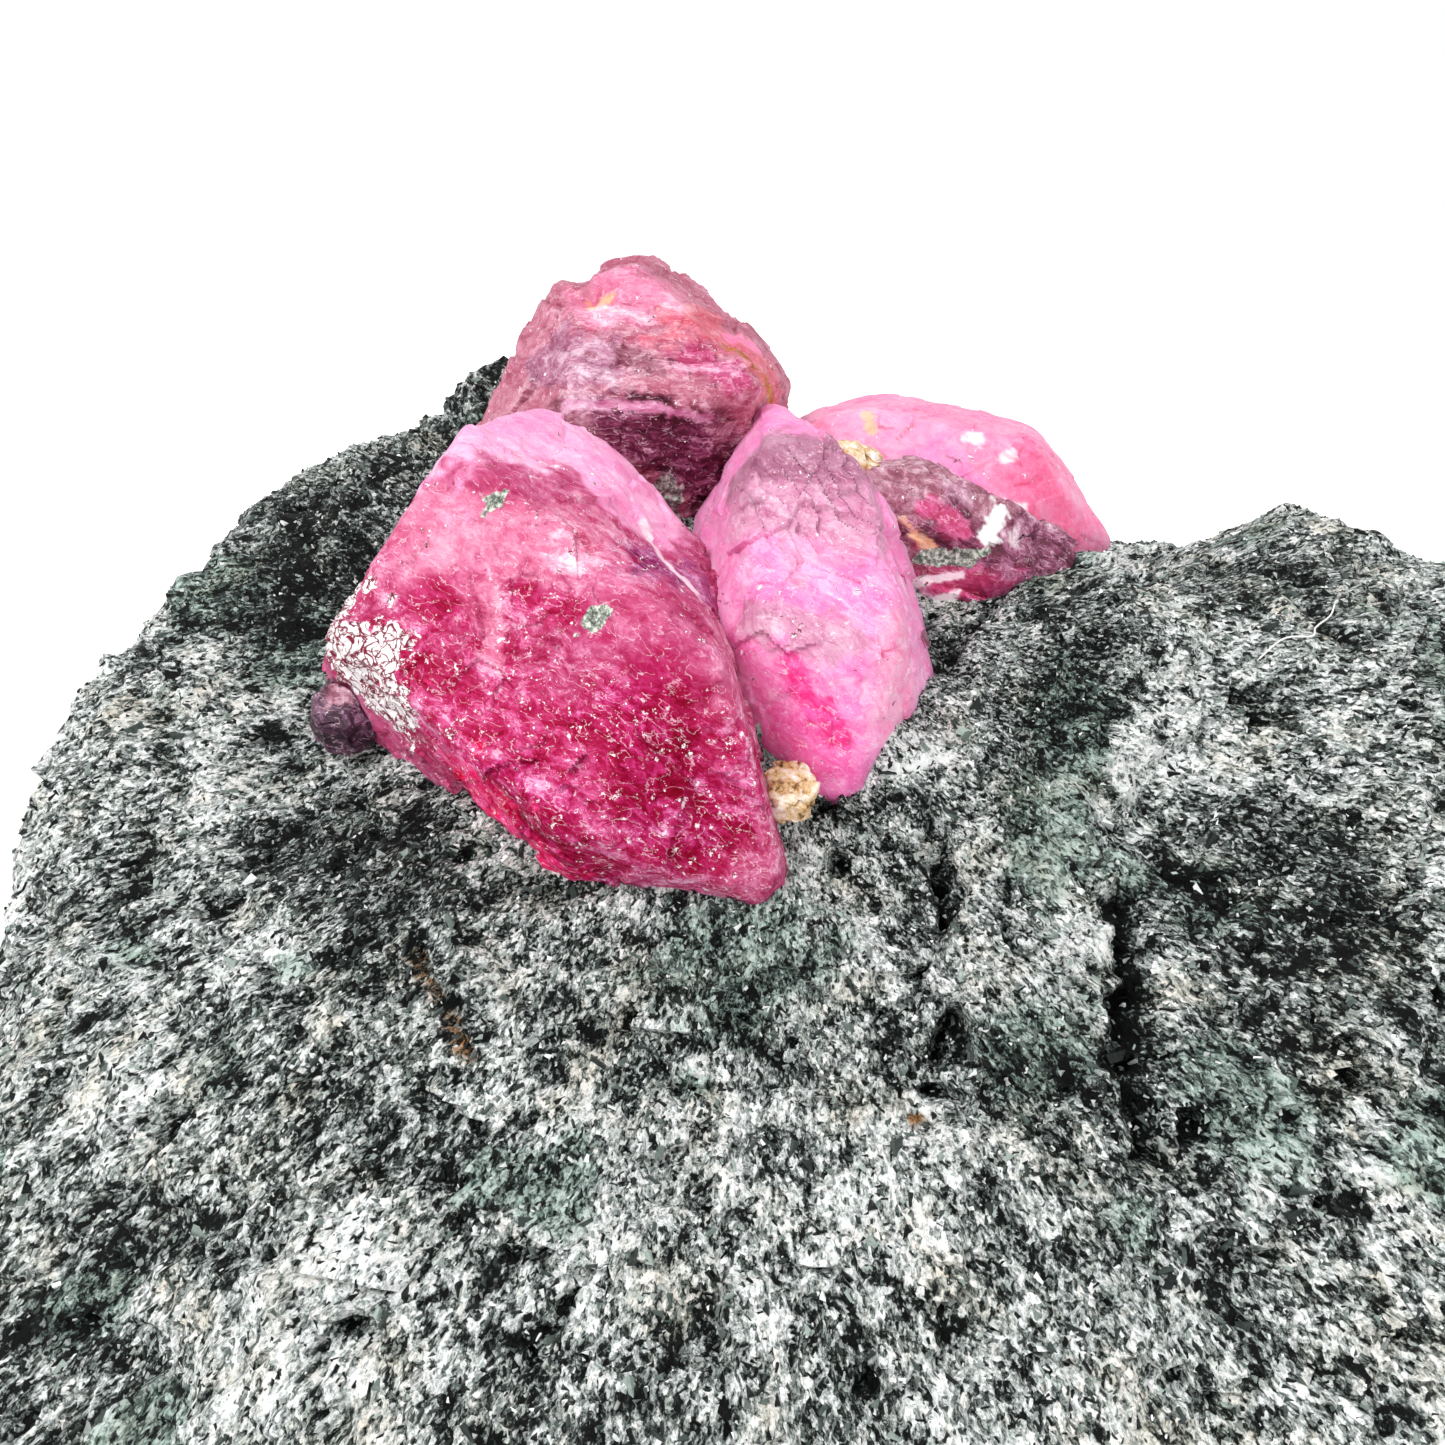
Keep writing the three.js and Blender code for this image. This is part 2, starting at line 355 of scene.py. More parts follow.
# %% From arrays to a piece
def make_piece(name, points, faces, fields, replaces=(), crease=35):
    """Puts a skin, in mm, into a mesh with its fields, and makes it a piece of the specimen.
    A field is one number, one colour or one vector for each point."""
    mesh = bpy.data.meshes.new(name)
    mesh.from_pydata(points * MM, [], faces)
    for field, values in fields.items():
        values = np.asarray(values, np.float32)
        kind, part = ("FLOAT", "value") if values.ndim == 1 else ("FLOAT_VECTOR", "vector")
        layer = mesh.attributes.new(field, kind, "POINT")
        layer.data.foreach_set(part, values.ravel())
    mesh.shade_smooth()
    mesh.set_sharp_from_angle(angle=math.radians(crease))
    piece = bpy.data.objects.new(name, mesh)
    bpy.context.collection.objects.link(piece)
    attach(piece, "root")
    if replaces:
        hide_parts(*replaces)
    print(name, len(points), "points,", sum(len(face) - 2 for face in faces), "triangles")
    return piece


# %% [markdown]
# ## Zones
# Ruby is coloured in zones, and rock in patches. A zone is one direction or a path of a few, each
# as azimuth and tilt seen from the middle of the piece, then a radius in mm and what it does there.
# Its outline is made ragged by noise: growth zones and stains have no neat edge.


# %% Zones
def spots(skin, middle, path):
    """The points of a skin that lie nearest to these directions from its middle."""
    away = skin - middle
    away /= np.linalg.norm(away, axis=1, keepdims=True)
    return skin[(ways_of(path) @ away.T).argmax(axis=1)]


def placed(skin, middle, zones):
    """The same zones, with their directions turned into places on the skin."""
    return [(spots(skin, middle, path), *rest) for path, *rest in zones]


def off_path(points, path):
    """Distance of each point from the nearest straight stretch of a path, or from a single place."""
    nearest = np.linalg.norm(points - path[0], axis=1)
    for start, way in zip(path[:-1], np.diff(path, axis=0)):
        t = np.clip((points - start) @ way / (way @ way), 0, 1)
        nearest = np.minimum(nearest, np.linalg.norm(points - start - t[:, None] * way, axis=1))
    return nearest


def cover(points, path, radius, salt, edge=0.35, lobes=0.4, teeth=0.3, far=4):
    """1 inside a zone, 0 outside, fading over its edge. Noise pushes the outline in and out, in
    lobes and in teeth of 0.25 mm; the sizes are shares of the radius. Far points need no noise."""
    away = off_path(points, path) / radius
    near = away < far
    here = points[near]
    push = lobes * rough(here, 0.7 * radius, salt) + teeth * smooth_noise(here, 0.25, salt)
    away[near] = away[near] * (1 + push)
    t = np.clip((1 + edge - away) / (2 * edge), 0, 1)
    return t * t * (3 - 2 * t)


def painted(skin, middle, body, zones, salt):
    """The body colour, over which each zone in turn lays its own."""
    colour = np.tile(linear(body), (len(skin), 1))
    for number, (path, radius, tint) in enumerate(placed(skin, middle, zones)):
        share = cover(skin, path, radius, salt + 11 * number)[:, None]
        colour = colour + share * (linear(tint) - colour)
    return colour


def marked(skin, middle, zones, salt):
    """One number for each point: how much any of the zones covers it."""
    most = np.zeros(len(skin))
    for number, (path, radius) in enumerate(placed(skin, middle, zones)):
        most = np.maximum(most, cover(skin, path, radius, salt + 11 * number))
    return most


def groove(points, path, width):
    """1 on a path, falling off to 0 like a bell across its width."""
    return np.exp(-((off_path(points, path) / width) ** 2))


def blotches(points, size, share, salt, octaves=3, edge=0.2):
    """Patches from noise alone: 1 where it is highest, on roughly that share of the skin, else 0."""
    noise = rough(points, size, salt, octaves)
    t = np.clip((noise - np.quantile(noise, 1 - share)) / edge, 0, 1)
    return t * t * (3 - 2 * t)


# %% [markdown]
# ## The matrix
# Amphibolite is black hornblende needles, white feldspar grains and grey-green alteration, all 0.1
# to 0.3 mm. The block is a lump of fracture faces with knobs and slow swells, the same as in the
# CAD model, and on top of that comes what the CAD model is too coarse for: chips at three sizes,
# a dark crevice beside the rubies, a fissure down the front and pits. Below it is sawn flat.

# %% Shape of the block
ROCK_CENTRE = np.array([-0.5, 2, 13])
ROCK_FACES = [
    # azimuth and tilt in degrees, distance in mm
    (-90, 52, 11.2), (-125, 46, 15.3), (-90, 13, 21.3), (0, 76, 16.0), (150, 28, 29.6),
    (177, 10, 25.4), (180, 80, 20.0), (-8, 16, 24.3), (-45, 22, 27.5), (48, 16, 23.5),
    (92, 14, 17.1), (125, 8, 24.0), (0, -90, 15.0),
]
ROCK_SHARPNESS = 16
FINER_TOWARDS, FINER_BY = np.array([0, -0.55, 0.83]), 0.35
KNOBS = [
    # direction, radius, height
    ((160, 45), 1.6, 1.2), ((148, 54), 2.0, 1.3), ((-10, 70), 3.2, 0.9), ((-120, 54), 2.8, -1.4),
    ((50, 50), 4.8, -2.8), ((35, 40), 2.6, 2.2), ((20, 30), 2.6, 2.6),
]
SWELLS = [
    # wavelength, height, direction of the wave
    (17, 0.55, (0.8, 0.5, 0.3)), (13, 0.45, (-0.5, 0.7, 0.6)),
    (9, 0.3, (0.3, -0.6, 0.8)), (7, 0.2, (0.9, 0.2, -0.5)),
]
CHIPS = [(3.1, 0.16, 3), (1.5, 0.2, 5), (0.8, 0.24, 9)]  # size, tilt, salt
CRACKS = [
    # path, width, depth
    ([(0, 80), (-80, 80), (-110, 70), (-120, 60)], 0.35, 0.45),  # crevice beside the rubies
    ([(-55, 45), (-62, 35), (-68, 27), (-70, 20)], 0.5, 1.0),  # fissure down the slope
    ([(-147, 27), (-142, 24), (-137, 21)], 0.3, 0.35),  # short crack with iron in it
    ([(12, 52), (6, 49), (0, 47)], 0.3, 0.6),  # crack beside the lint
]
GRIT = [(1.6, 0.1, 21, 3), (0.7, 0.14, 23, 2)]  # size, height, salt, octaves
KNOBBLY = [([(165, 45), (150, 50)], 3.5), ([(20, 45), (10, 38)], 2.5)]  # path, radius
WART_SIZE, WART_HEIGHT, WART_GAP = 0.9, 0.6, 0.35  # what makes a patch knobbly
STRAY_SIZE, STRAY_BY = 0.9, 0.25  # how a crack wanders off its path
PIT_SIZE, PIT_SHARE, PIT_DEPTH = 1.3, 0.04, 0.7


def rock_skin(cells):
    """Skin, quads, detail and smooth skin: the power mean of the faces, raised along each direction
    by knobs (bells), swells (sines) and chips, cut into by cracks and pits, and flat at z = 0. The
    directions are drawn together towards the ruby side, which gets smaller quads than the back."""
    ways, quads = all_round(cells)
    ways = ways + FINER_BY * FINER_TOWARDS
    ways /= np.linalg.norm(ways, axis=1, keepdims=True)
    normals, distances = ways_of([face[:2] for face in ROCK_FACES]), np.array(ROCK_FACES)[:, 2]
    base = ROCK_CENTRE + ways * skin_distance(ways, normals, distances, ROCK_SHARPNESS)[:, None]
    height = np.zeros(len(base))
    for way, size, rise in KNOBS:
        middle = spots(base, ROCK_CENTRE, way)
        height += rise * np.exp(-(((base - middle) / size) ** 2).sum(1))
    for number, (wavelength, rise, along) in enumerate(SWELLS):
        along = np.array(along) / np.linalg.norm(along)
        height += rise * np.sin(2 * math.pi * base @ along / wavelength + number)
    smooth = base + ways * height[:, None]
    detail = chipped(smooth, CHIPS)
    detail += sum(rise * rough(smooth, size, salt, octaves) for size, rise, salt, octaves in GRIT)
    knobbly = marked(smooth, ROCK_CENTRE, KNOBBLY, 25)
    detail += WART_HEIGHT * knobbly * (WART_GAP - np.abs(rough(smooth, WART_SIZE, 27, 2)))
    stray = np.stack([rough(smooth, STRAY_SIZE, 31 + k) for k in range(3)], -1)
    ragged = smooth + STRAY_BY * stray
    for path, width, depth in placed(smooth, ROCK_CENTRE, CRACKS):
        detail -= depth * groove(ragged, path, width)
    detail -= PIT_DEPTH * blotches(smooth, PIT_SIZE, PIT_SHARE, 41, 2)
    skin = smooth + ways * detail[:, None]
    skin[:, 2] = np.maximum(skin[:, 2], 0)
    return skin, quads, detail, smooth


rock_points, rock_quads, rock_detail, rock_smooth = rock_skin(cells=128)
print("block spans", np.ptp(rock_points, axis=0).round(1), "mm")

# %% [markdown]
# The needles in the rock lie away from the rubies, like iron filings round a magnet. So the grain
# pattern is drawn in its own coordinates: the direction from the cluster times a power of the
# distance. That stretches every grain to nearly twice its width along the way out. Patches of one
# mineral come from noise; only those that are landmarks of this block are listed.

# %% Grain coordinates and patches
CLUSTER = np.array([-5.0, 2.0, 26.0])
GRAIN_POWER = 0.55
EVEN_AT = 20  # mm from the cluster where grains are drawn at their own size
TEAL_SIZE, TEAL_SHARE = 3.5, 0.15
PALE_SIZE, PALE_SHARE = 2.2, 0.15
CLOT_SIZE, CLOT_SHARE, SPOT_SIZE, SPOT_SHARE = 2.6, 0.25, 0.5, 0.35

outward = rock_points - CLUSTER
reach = np.linalg.norm(outward, axis=1, keepdims=True)
grain_place = outward / reach * EVEN_AT * (reach / EVEN_AT) ** GRAIN_POWER

# Darker patches of rock; on the left crest and under the splinter they are painted shade.
DARK_AND_SHADED = [
    # path, radius
    ([(160, 40), (150, 50)], 3.8),  # the shaded face of the left crest
    ([(170, 38)], 2.5),
    ([(-47, 42), (-36, 36)], 2.8),  # beside the fissure
    ([(-165, 30), (-150, 28)], 2.2),  # the left flank
    ([(-60, 62), (-10, 70)], 1.5),  # under the splinter
    ([(20, 55), (10, 45)], 2.4),  # the shelf behind the lint
]
# Painted deep shade, near black, in and beside the crevice and the fissure and on the shaded left crest.
DEEP_SHADE_ZONES = [
    ([(-120, 60), (-90, 62)], 0.4),  # from the foot of the crevice
    ([(-56, 43), (-62, 35), (-67, 28)], 0.3),  # in the fissure
    ([(-40, 47), (-42, 40)], 0.5),  # beside it
    ([(160, 40), (172, 36)], 0.6),  # on the left crest
]
TEAL = [([(-60, 55)], 1.6), ([(-118, 38)], 1.8), ([(-78, 30)], 1.6), ([(-60, 22)], 1.8)]
PALE = [([(-52, 55), (-30, 57)], 1.4), ([(-138, 42)], 0.9), ([(-65, 42)], 1.2)]
WHITE = [([(-100, 65), (-80, 68)], 0.14)]
RUST = [([(-147, 27), (-142, 24), (-137, 21)], 0.16), ([(-93, 23)], 0.2)]


def rock_mark(zones, salt):
    """How much the listed patches cover each point of the rock."""
    return marked(rock_smooth, ROCK_CENTRE, zones, salt)


clots = blotches(rock_smooth, CLOT_SIZE, CLOT_SHARE, 56)
clots = clots * blotches(rock_smooth, SPOT_SIZE, SPOT_SHARE, 57, 2)
rock_fields = {
    "grain_place": grain_place,
    # darker patches, on the left crest and under the splinter painted shade
    "dark": rock_mark(DARK_AND_SHADED, 51),
    # black: real hornblende clots, and the painted deep shade of the crevice and the fissure
    "black": np.maximum(rock_mark(DEEP_SHADE_ZONES, 54), clots),
    "teal": np.maximum(rock_mark(TEAL, 61), blotches(rock_smooth, TEAL_SIZE, TEAL_SHARE, 62)),
    "pale": np.maximum(rock_mark(PALE, 71), 0.7 * blotches(rock_smooth, PALE_SIZE, PALE_SHARE, 72)),
    "white": rock_mark(WHITE, 76),
    "rust": rock_mark(RUST, 78),
    # painted shade: the deeper a point lies below the smooth skin, in cracks and pits, the darker
    "hollow_shade": np.clip(-rock_detail, 0, 1),
}
rock = make_piece(
    "amphibolite_block", rock_points, rock_quads.tolist(), rock_fields, ["matrix"],
    crease=30)

# %% [markdown]
# The finish of the rock is salt and pepper: grains as Voronoi cells of 0.12 mm, each with its own
# tone, over finer and coarser noise, with clots of pure hornblende. A ramp turns the sum into
# hornblende black, grey-green and feldspar white. The same sum raises the light grains a little, so
# that they catch the light.

# %% Amphibolite
GRAIN_SIZE = 0.12
ROCK_TONES = [
    (0.20, "#010202"), (0.33, "#1a1f1d"), (0.43, "#5d6461"), (0.54, "#999f9d"),
    (0.66, "#ced2d0"), (0.82, "#ffffff"),
]
# Painted shade among these: the sunken field darkens cracks and pits, and dark and black are in part
# painted shade.
MARK_WEIGHTS = [  # how much each field lightens or darkens
    ("dark", -0.16), ("black", -0.24), ("pale", 0.14), ("white", 0.4), ("teal", -0.02), ("hollow_shade", -0.5),
]


def ramp(tree, factor, stops):
    """A colour ramp with these positions and colours."""
    made = add(tree, "ValToRGB", {"Fac": factor})
    elements = made.color_ramp.elements
    while len(elements) < len(stops):
        elements.new(0.5)
    for element, (position, colour) in zip(elements, stops):
        element.position, element.color = position, rgba(colour)
    return made


def amphibolite():
    """Hornblende, feldspar and chlorite grains, dull to silky, with a glint on a fresh cleavage."""
    material, tree, out = new_material("amphibolite")
    place = millimetres(tree)
    grains = read(tree, "grain_place", "Vector")
    wander = fractal(tree, place, 3.0, 3.0)
    bent = pushed(tree, grains, wander, 0.15)
    coarse = add(tree, "TexVoronoi", {"Vector": bent, "Scale": 1 / GRAIN_SIZE})
    tones = add(tree, "SeparateColor", {"Color": coarse.outputs["Color"]})
    fine = fractal(tree, bent, 11.0, 3.0, 0.75)
    clots = fractal(tree, bent, 1.6, 5.0, 0.65)
    drift = fractal(tree, place, 0.25, 2.0)
    tone = plus(tree, 0.37, tones.outputs[0], 0.42)
    for layer, weight in ((fine, 1.3), (clots, 0.9), (drift, 0.5)):
        centred = maths(tree, "SUBTRACT", layer, 0.5)
        tone = plus(tree, tone, centred, weight)
    hole = spread(tree, clots, 0.35, 0.41, 0.25, 0)
    tone = maths(tree, "SUBTRACT", tone, hole)
    for field, weight in MARK_WEIGHTS:
        tone = plus(tree, tone, read(tree, field), weight)
    colour = ramp(tree, tone, ROCK_TONES)
    teal = read(tree, "teal")
    green = spread(tree, tones.outputs[1], 0.6, 1.0, 0, 0.25)
    green = plus(tree, green, teal, 0.55)
    colour = blend(tree, green, colour, rgba("#93b8aa"), blend_type="MULTIPLY")
    hue = fractal(tree, place, 0.5, 4.0, 0.6)
    warm = spread(tree, hue, 0.52, 0.68, 0, 0.45)
    rosy = spread(tree, tones.outputs[2], 0.85, 1.0, 0, 0.3)
    warm = maths(tree, "ADD", warm, rosy)
    colour = blend(tree, warm, colour, rgba("#e0d0b6"), blend_type="MULTIPLY")
    rust = read(tree, "rust")
    colour = blend(tree, rust, colour, rgba("#b07c4c"), blend_type="MULTIPLY")
    bump = add(tree, "Bump", {"Height": tone, "Strength": 0.8, "Distance": 0.12 * MM})
    gloss = spread(tree, tones.outputs[1], 0, 1, 0.35, 0.75)
    return shaded(material, tree, out, {
        "Base Color": colour, "Roughness": gloss, "IOR": 1.62, "Specular IOR Level": 0.12,
        "Normal": bump})


rock.data.materials.append(amphibolite())

# %% [markdown]
# ## Loose-looking grains
# On the real block the outermost grains stand proud, and they make its edges and its sparkle.
# They are many small three-sided prisms, half sunk in the skin. Each one is a template of six
# corners, stretched, turned and jittered as whole arrays. Most point away from the rubies.

# %% Grain prisms
PRISM = np.array([(-1, 0, 1), (-1, -1, -0.6), (-1, 1, -0.6), (1, 0, 1), (1, -1, -0.6), (1, 1, -0.6)])
PRISM_TRIANGLES = np.array([
    (0, 2, 1), (3, 4, 5), (0, 1, 4), (0, 4, 3), (1, 2, 5), (1, 5, 4), (2, 0, 3), (2, 3, 5)])
PRISM_STRAY = 14  # mm of random shift to what a grain points away from: some lie crosswise
PRISM_TILT = 0.35  # how far a grain leans out of the skin, by its length
SIZE_SPREAD, CORNER_JITTER, END_JITTER = 0.35, 0.35, 0.4  # by a grain's own size
SAW_MARGIN, SAW_GAP = 0.4, 0.02  # mm above the base: grains start there, corners end there
ANYWHERE, UPWARD, FORWARD = 0.25, 0.8, 0.7  # how much a place is liked, and for the way it faces


def scatter(skin, quads, count, salt):
    """Random places on the skin, with their normals. Quads are drawn by area, those that face up
    or to the front more often, and a point in a quad is a blend of its corners."""
    chance = np.random.default_rng(salt)
    corners = skin[quads]
    across = np.cross(corners[:, 2] - corners[:, 0], corners[:, 3] - corners[:, 1])
    area = np.linalg.norm(across, axis=1)
    normal = across / np.maximum(area, 1e-9)[:, None]
    liking = ANYWHERE + np.clip(UPWARD * normal[:, 2] - FORWARD * normal[:, 1], 0, 1)
    liking = liking * (corners[:, :, 2].mean(1) > SAW_MARGIN)
    pick = chance.choice(len(quads), count, p=area * liking / (area * liking).sum())
    u, v = chance.random((2, count, 1))
    a, b, c, d = np.moveaxis(corners[pick], 1, 0)
    return (a * (1 - u) + b * u) * (1 - v) + (d * (1 - u) + c * u) * v, normal[pick], chance


def prisms(skin, quads, count, length, width, salt):
    """Corners, triangles and one random tone a grain. A grain's own axes are its length, lying in
    the skin and mostly pointing away from the rubies, its width, and the skin's normal."""
    place, normal, chance = scatter(skin, quads, count, salt)
    along = place - CLUSTER + chance.normal(0, PRISM_STRAY, (count, 3))
    along -= (along * normal).sum(1, keepdims=True) * normal
    lift = PRISM_TILT * np.linalg.norm(along, axis=1, keepdims=True)
    along += lift * chance.normal(0, 1, (count, 1)) * normal
    along /= np.linalg.norm(along, axis=1, keepdims=True)
    side = np.cross(normal, along)
    side /= np.linalg.norm(side, axis=1, keepdims=True)
    up = np.cross(along, side)
    size = np.exp(chance.normal(0, SIZE_SPREAD, (count, 1, 1))) / 2
    shape = PRISM * (1 + chance.uniform(-CORNER_JITTER, CORNER_JITTER, (count, 6, 3)))
    shape[:, :, 0] += chance.uniform(-END_JITTER, END_JITTER, (count, 6))
    shape *= size * np.array([length, width, 0.9 * width])
    corners = place[:, None] + np.einsum("gck,gkx->gcx", shape, np.stack([along, side, up], 1))
    corners[..., 2] = np.maximum(corners[..., 2], SAW_GAP)
    triangles = (np.arange(count)[:, None, None] * 6 + PRISM_TRIANGLES).reshape(-1, 3)
    return corners.reshape(-1, 3), triangles, np.repeat(chance.random(count), 6)


# %% [markdown]
# Three minerals, three pieces: white feldspar, black hornblende, grey-green chlorite. All have
# the tone of each grain from a field, and a finer cloud inside it, so that no grain is flat.

# %% Grain finish
MINERALS = [
    # name, slot, grains, length, width, salt, tones, roughness
    ("feldspar_grains", "feldspar", 20000, 0.10, 0.07, 101, ("#5f6764", "#a9afac", "#f6f8f7"), 0.4),
    ("hornblende_grains", "hornblende", 20000, 0.15, 0.08, 102, ("#040606", "#171c1b", "#434c49"), 0.3),
    ("chlorite_grains", "amphibolite", 14000, 0.12, 0.08, 103, ("#2f3a36", "#66736d", "#a9b7b0"), 0.5),
]


def grain_finish(name, tones, roughness):
    """A mineral of the rock in small clean grains: vitreous, with a cloudy inside."""
    material, tree, out = new_material(name)
    place = millimetres(tree)
    own = read(tree, "tone")
    cloud = fractal(tree, place, 8.0, 3.0)
    mix = plus(tree, own, cloud, 0.5)
    mix = maths(tree, "SUBTRACT", mix, 0.25)
    colour = ramp(tree, mix, list(zip((0.05, 0.5, 0.95), tones)))
    bump = add(tree, "Bump", {"Height": cloud, "Strength": 0.5, "Distance": 0.03 * MM})
    return shaded(material, tree, out, {
        "Base Color": colour, "Roughness": roughness, "IOR": 1.55, "Specular IOR Level": 0.2,
        "Normal": bump})


for name, slot, count, length, width, salt, tones, roughness in MINERALS:
    corners, triangles, tone = prisms(rock_points, rock_quads, count, length, width, salt)
    piece = make_piece(name, corners, triangles.tolist(), {"tone": tone}, crease=10)
    piece.data.materials.append(grain_finish(name, tones, roughness))

# %% [markdown]
# ## The rubies
# Corundum grows as blunt hexagonal barrels and breaks in rough, shell-like planes. Each crystal
# takes its flat faces from its CAD node, a hair larger so that neighbours touch, and then breaks
# into smaller planes, ledges and grit. Where they grew into each other they simply overlap.

# %% Faces of a CAD node
SLIVER = 1e-3  # a triangle whose sides span less, in square mm, has no sure direction
SLACK = 0.03  # mm by which a corner may stand out of a face's plane


def cad_faces(node):
    """Middle of a node's box, then the normals and distances of its outer faces, in mm. A
    triangle's plane counts if the whole node lies behind it. The sides of the box close what a
    neighbour cut away."""
    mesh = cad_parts[node].data
    corners = np.empty(len(mesh.vertices) * 3)
    mesh.vertices.foreach_get("co", corners)
    corners = corners.reshape(-1, 3) / MM
    index = np.empty(len(mesh.polygons) * 3, int)
    mesh.polygons.foreach_get("vertices", index)
    a, b, c = np.moveaxis(corners[index.reshape(-1, 3)], 1, 0)
    normal = np.cross(b - a, c - a)
    size = np.linalg.norm(normal, axis=1)
    sure = size > SLIVER
    a, normal = a[sure], normal[sure] / size[sure, None]
    outer = ((corners @ normal.T) <= (a * normal).sum(1) + SLACK).all(axis=0)
    normals = np.concatenate([normal[outer], np.eye(3), -np.eye(3)])
    middle = (corners.min(axis=0) + corners.max(axis=0)) / 2
    distances = ((corners - middle) @ normals.T).max(axis=0)
    faces = np.unique(np.column_stack([normals.round(2), distances.round(2)]), axis=0)
    return middle, faces[:, :3] / np.linalg.norm(faces[:, :3], axis=1, keepdims=True), faces[:, 3]


def crystal_skin(node, cells, sharpness, relief, close_up):
    """Middle, flat points, points and quads of a crystal. The flat ones are the power mean of its
    CAD faces; the skin is close_up mm further out, to meet the neighbours, plus
    relief(flat points, middle) in mm."""
    ways, quads = all_round(cells)
    middle, normals, distances = cad_faces(node)
    flat = middle + ways * skin_distance(ways, normals, distances, sharpness)[:, None]
    grown = middle + ways * skin_distance(ways, normals, distances + close_up, sharpness)[:, None]
    return middle, flat, grown + ways * relief(flat, middle)[:, None], quads


def dent(points, middle, path, width, height):
    """A long dent, or a rise, on a crystal: a groove along directions from its middle."""
    return height * groove(points, spots(points, middle, path), width)


def ledges(points, along, spacing, height, salt):
    """Growth steps: along a direction the skin climbs, then drops back, like a saw with wavy teeth."""
    along = np.array(along) / np.linalg.norm(along)
    turn = points @ along / spacing + 0.6 * rough(points, 2.5 * spacing, salt)
    return height * (turn - np.floor(turn) - 0.5)


def grow(name, node, cells, sharpness, relief, body, zones, salt, finish,
         bruises=(), crazed_glint=(), guests=(), close_up=0.15, crease=35):
    """Makes the crystal of a CAD node. Its fields are what the ruby material reads: the tint, and
    where it is bruised, crazed into plates painted near white as a glint, or holds grains of the rock."""
    middle, flat, points, quads = crystal_skin(node, cells, sharpness, relief, close_up)
    fields = {
        "tint": painted(flat, middle, body, zones, salt),
        "bruised": marked(flat, middle, bruises, salt + 1),
        "crazed_glint": marked(flat, middle, crazed_glint, salt + 2),
        "guest": marked(flat, middle, guests, salt + 3),
    }
    piece = make_piece(name, points, quads.tolist(), fields, [node], crease)
    piece.data.materials.append(finish)


# %% [markdown]
# Ruby is red glass clouded by cracks. Light goes in, is turned back by a crack, and comes out with
# the colour of the way it went: the tint to the power of the depth (Beer's law). Over clear windows
# the depth is 2 or more, dark crimson; over crowded cracks it is 0.3, pale pink. So one number, the
# depth, makes all the life in a crystal. On top lie pale scratches that are also a painted sheen,
# white dust where the skin is bruised, crazed plates painted near white as a mirror glint, and grains
# of the rock grown in. Corundum is glassy, with an IOR of 1.77, but these broken skins shine little.

